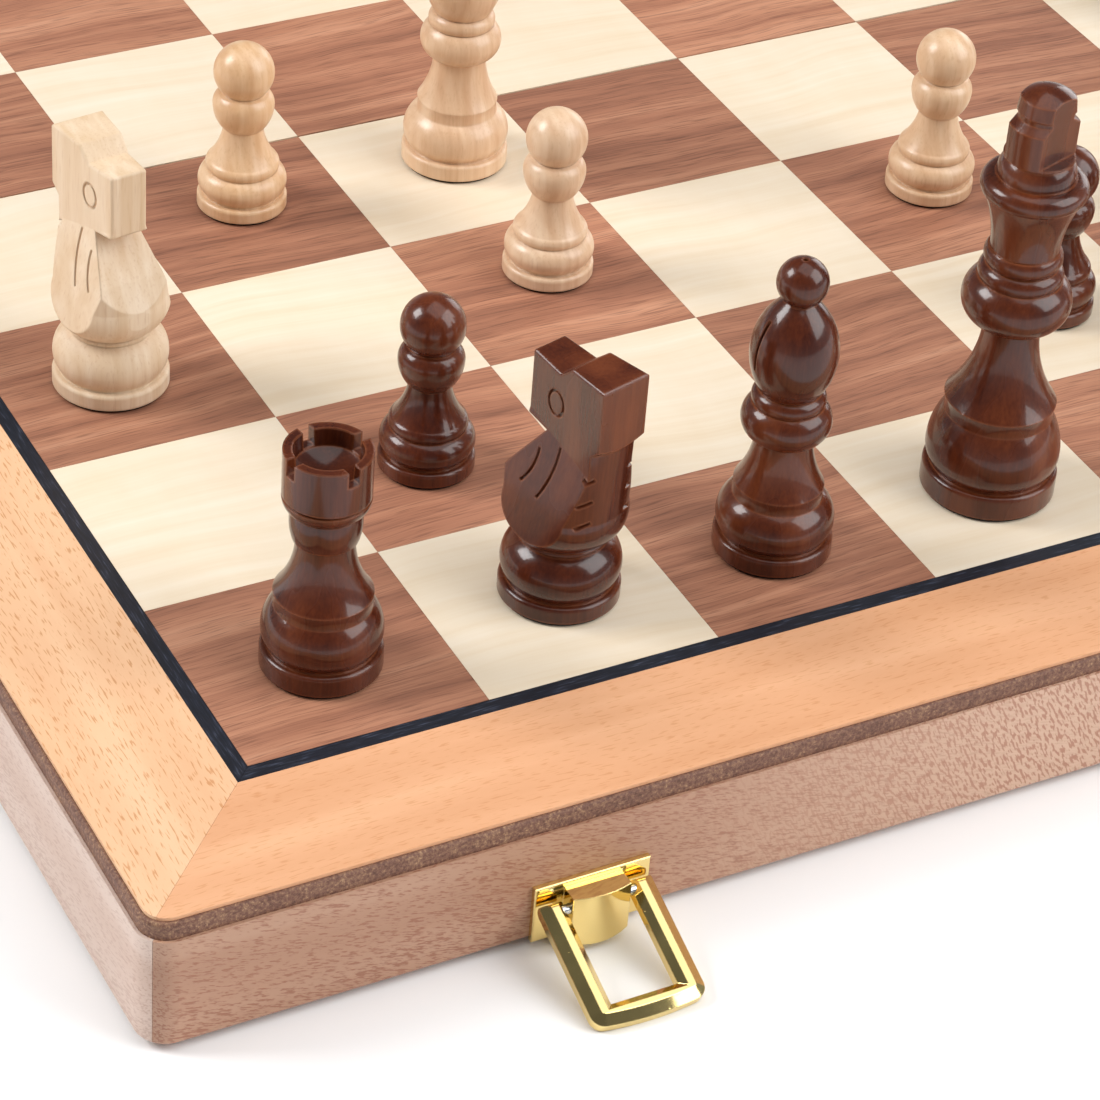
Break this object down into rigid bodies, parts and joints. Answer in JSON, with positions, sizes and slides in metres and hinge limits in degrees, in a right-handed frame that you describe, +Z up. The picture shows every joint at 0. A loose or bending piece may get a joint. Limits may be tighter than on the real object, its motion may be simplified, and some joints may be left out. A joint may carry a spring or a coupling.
{
  "type": "folding chess set",
  "caption": "Magnetic folding chess board with walnut and maple squares, beech border and rails, gold bail latches, felt-lined wells and turned wooden men.",
  "frame": {"origin": "on the table, below the centre of the overall bounding box of the open set at rest", "axes": "+X right along the near edge, +Y away across the fold, +Z up"},
  "size_m": [0.3748, 0.4018, 0.1011],
  "materials": {
    "fibreboard": "dense brown fibreboard, sawn edge",
    "steel_sheet": "thin plain sheet",
    "beech_veneer": "satin lacquered beech veneer",
    "black_inlay": "blue-black dyed veneer, satin",
    "walnut_veneer": "satin lacquered walnut veneer",
    "maple_veneer": "satin lacquered maple veneer",
    "beech_rail": "satin lacquered solid beech",
    "divider_wood": "plain planed",
    "green_felt": "wool felt",
    "brass_hardware": "satin",
    "gold_plating": "polished gold plate on a casting",
    "steel_pin": "bright wire",
    "dark_chessman": "gloss lacquer over dark stain",
    "light_chessman": "satin lacquer, natural boxwood"
  },
  "bodies": {
    "near_half": {"near_panel": "fibreboard", "near_steel_sheet": "steel_sheet", "near_border_veneer": "beech_veneer", "near_inlay_line": "black_inlay", "near_walnut_squares": "walnut_veneer", "near_maple_squares": "maple_veneer", "near_rails": "beech_rail", "near_dividers": "divider_wood", "near_felt_lining": "green_felt", "near_screws": "brass_hardware", "near_hinge_leaves": "brass_hardware", "hinge_pins": "steel_pin", "latch_plates": "gold_plating", "latch_pins": "steel_pin"},
    "far_half": {"far_panel": "fibreboard", "far_steel_sheet": "steel_sheet", "far_border_veneer": "beech_veneer", "far_inlay_line": "black_inlay", "far_walnut_squares": "walnut_veneer", "far_maple_squares": "maple_veneer", "far_rails": "beech_rail", "far_dividers": "divider_wood", "far_felt_lining": "green_felt", "far_screws": "brass_hardware", "far_hinge_leaves": "brass_hardware", "keeper_plates": "gold_plating"},
    "left_bail": {"latch_bail_left": "gold_plating"},
    "right_bail": {"latch_bail_right": "gold_plating"},
    "dark_rook_left": {"dark_rook_left": "dark_chessman"},
    "dark_knight_left": {"dark_knight_left": "dark_chessman"},
    "dark_bishop_left": {"dark_bishop_left": "dark_chessman"},
    "dark_king": {"dark_king": "dark_chessman"},
    "dark_pawn_b": {"dark_pawn_b": "dark_chessman"},
    "dark_pawn_e": {"dark_pawn_e": "dark_chessman"},
    "dark_bishop_right": {"dark_bishop_right": "dark_chessman"},
    "dark_knight_right": {"dark_knight_right": "dark_chessman"},
    "dark_rook_right": {"dark_rook_right": "dark_chessman"},
    "dark_pawn_f": {"dark_pawn_f": "dark_chessman"},
    "dark_pawn_g": {"dark_pawn_g": "dark_chessman"},
    "dark_pawn_h": {"dark_pawn_h": "dark_chessman"},
    "dark_queen": {"dark_queen": "dark_chessman"},
    "dark_pawn_a": {"dark_pawn_a": "dark_chessman"},
    "dark_pawn_c": {"dark_pawn_c": "dark_chessman"},
    "dark_pawn_d": {"dark_pawn_d": "dark_chessman"},
    "light_knight_left": {"light_knight_left": "light_chessman"},
    "light_pawn_c": {"light_pawn_c": "light_chessman"},
    "light_pawn_e": {"light_pawn_e": "light_chessman"},
    "light_pawn_b": {"light_pawn_b": "light_chessman"},
    "light_bishop_left": {"light_bishop_left": "light_chessman"},
    "light_king": {"light_king": "light_chessman"},
    "light_queen": {"light_queen": "light_chessman"},
    "light_rook_left": {"light_rook_left": "light_chessman"},
    "light_rook_right": {"light_rook_right": "light_chessman"},
    "light_bishop_right": {"light_bishop_right": "light_chessman"},
    "light_knight_right": {"light_knight_right": "light_chessman"},
    "light_pawn_a": {"light_pawn_a": "light_chessman"},
    "light_pawn_d": {"light_pawn_d": "light_chessman"},
    "light_pawn_f": {"light_pawn_f": "light_chessman"},
    "light_pawn_g": {"light_pawn_g": "light_chessman"},
    "light_pawn_h": {"light_pawn_h": "light_chessman"}
  },
  "joints": [
    {"name": "fold", "type": "hinge", "parent": "near_half", "child": "far_half", "pos_m": [0, 0.00854, 0.0013], "axis": [-1, 0, 0], "range_deg": [0, 180]},
    {"name": "left_bail_pivot", "type": "hinge", "parent": "near_half", "child": "left_bail", "pos_m": [-0.1158, -0.18186, 0.00835], "axis": [1, 0, 0], "range_deg": [-105, 69.43]},
    {"name": "right_bail_pivot", "type": "hinge", "parent": "near_half", "child": "right_bail", "pos_m": [0.1158, -0.18186, 0.00835], "axis": [1, 0, 0], "range_deg": [-105, 69.43]},
    {"name": "dark_rook_left_lift", "type": "slide", "parent": "near_half", "child": "dark_rook_left", "axis": [0, 0, 1], "range_m": [0, 0.1]},
    {"name": "dark_knight_left_lift", "type": "slide", "parent": "near_half", "child": "dark_knight_left", "axis": [0, 0, 1], "range_m": [0, 0.1]},
    {"name": "dark_bishop_left_lift", "type": "slide", "parent": "near_half", "child": "dark_bishop_left", "axis": [0, 0, 1], "range_m": [0, 0.1]},
    {"name": "dark_king_lift", "type": "slide", "parent": "near_half", "child": "dark_king", "axis": [0, 0, 1], "range_m": [0, 0.1]},
    {"name": "dark_pawn_b_lift", "type": "slide", "parent": "near_half", "child": "dark_pawn_b", "axis": [0, 0, 1], "range_m": [0, 0.1]},
    {"name": "dark_pawn_e_lift", "type": "slide", "parent": "near_half", "child": "dark_pawn_e", "axis": [0, 0, 1], "range_m": [0, 0.1]},
    {"name": "dark_bishop_right_lift", "type": "slide", "parent": "near_half", "child": "dark_bishop_right", "axis": [0, 0, 1], "range_m": [0, 0.1]},
    {"name": "dark_knight_right_lift", "type": "slide", "parent": "near_half", "child": "dark_knight_right", "axis": [0, 0, 1], "range_m": [0, 0.1]},
    {"name": "dark_rook_right_lift", "type": "slide", "parent": "near_half", "child": "dark_rook_right", "axis": [0, 0, 1], "range_m": [0, 0.1]},
    {"name": "dark_pawn_f_lift", "type": "slide", "parent": "near_half", "child": "dark_pawn_f", "axis": [0, 0, 1], "range_m": [0, 0.1]},
    {"name": "dark_pawn_g_lift", "type": "slide", "parent": "near_half", "child": "dark_pawn_g", "axis": [0, 0, 1], "range_m": [0, 0.1]},
    {"name": "dark_pawn_h_lift", "type": "slide", "parent": "near_half", "child": "dark_pawn_h", "axis": [0, 0, 1], "range_m": [0, 0.1]},
    {"name": "dark_queen_lift", "type": "slide", "parent": "near_half", "child": "dark_queen", "axis": [0, 0, 1], "range_m": [0, 0.1]},
    {"name": "dark_pawn_a_lift", "type": "slide", "parent": "far_half", "child": "dark_pawn_a", "axis": [0, 0, 1], "range_m": [0, 0.1]},
    {"name": "dark_pawn_c_lift", "type": "slide", "parent": "far_half", "child": "dark_pawn_c", "axis": [0, 0, 1], "range_m": [0, 0.1]},
    {"name": "dark_pawn_d_lift", "type": "slide", "parent": "near_half", "child": "dark_pawn_d", "axis": [0, 0, 1], "range_m": [0, 0.1]},
    {"name": "light_knight_left_lift", "type": "slide", "parent": "near_half", "child": "light_knight_left", "axis": [0, 0, 1], "range_m": [0, 0.1]},
    {"name": "light_pawn_c_lift", "type": "slide", "parent": "near_half", "child": "light_pawn_c", "axis": [0, 0, 1], "range_m": [0, 0.1]},
    {"name": "light_pawn_e_lift", "type": "slide", "parent": "near_half", "child": "light_pawn_e", "axis": [0, 0, 1], "range_m": [0, 0.1]},
    {"name": "light_pawn_b_lift", "type": "slide", "parent": "near_half", "child": "light_pawn_b", "axis": [0, 0, 1], "range_m": [0, 0.1]},
    {"name": "light_bishop_left_lift", "type": "slide", "parent": "near_half", "child": "light_bishop_left", "axis": [0, 0, 1], "range_m": [0, 0.1]},
    {"name": "light_king_lift", "type": "slide", "parent": "far_half", "child": "light_king", "axis": [0, 0, 1], "range_m": [0, 0.1]},
    {"name": "light_queen_lift", "type": "slide", "parent": "far_half", "child": "light_queen", "axis": [0, 0, 1], "range_m": [0, 0.1]},
    {"name": "light_rook_left_lift", "type": "slide", "parent": "far_half", "child": "light_rook_left", "axis": [0, 0, 1], "range_m": [0, 0.1]},
    {"name": "light_rook_right_lift", "type": "slide", "parent": "far_half", "child": "light_rook_right", "axis": [0, 0, 1], "range_m": [0, 0.1]},
    {"name": "light_bishop_right_lift", "type": "slide", "parent": "far_half", "child": "light_bishop_right", "axis": [0, 0, 1], "range_m": [0, 0.1]},
    {"name": "light_knight_right_lift", "type": "slide", "parent": "far_half", "child": "light_knight_right", "axis": [0, 0, 1], "range_m": [0, 0.1]},
    {"name": "light_pawn_a_lift", "type": "slide", "parent": "far_half", "child": "light_pawn_a", "axis": [0, 0, 1], "range_m": [0, 0.1]},
    {"name": "light_pawn_d_lift", "type": "slide", "parent": "far_half", "child": "light_pawn_d", "axis": [0, 0, 1], "range_m": [0, 0.1]},
    {"name": "light_pawn_f_lift", "type": "slide", "parent": "far_half", "child": "light_pawn_f", "axis": [0, 0, 1], "range_m": [0, 0.1]},
    {"name": "light_pawn_g_lift", "type": "slide", "parent": "far_half", "child": "light_pawn_g", "axis": [0, 0, 1], "range_m": [0, 0.1]},
    {"name": "light_pawn_h_lift", "type": "slide", "parent": "far_half", "child": "light_pawn_h", "axis": [0, 0, 1], "range_m": [0, 0.1]}
  ]
}
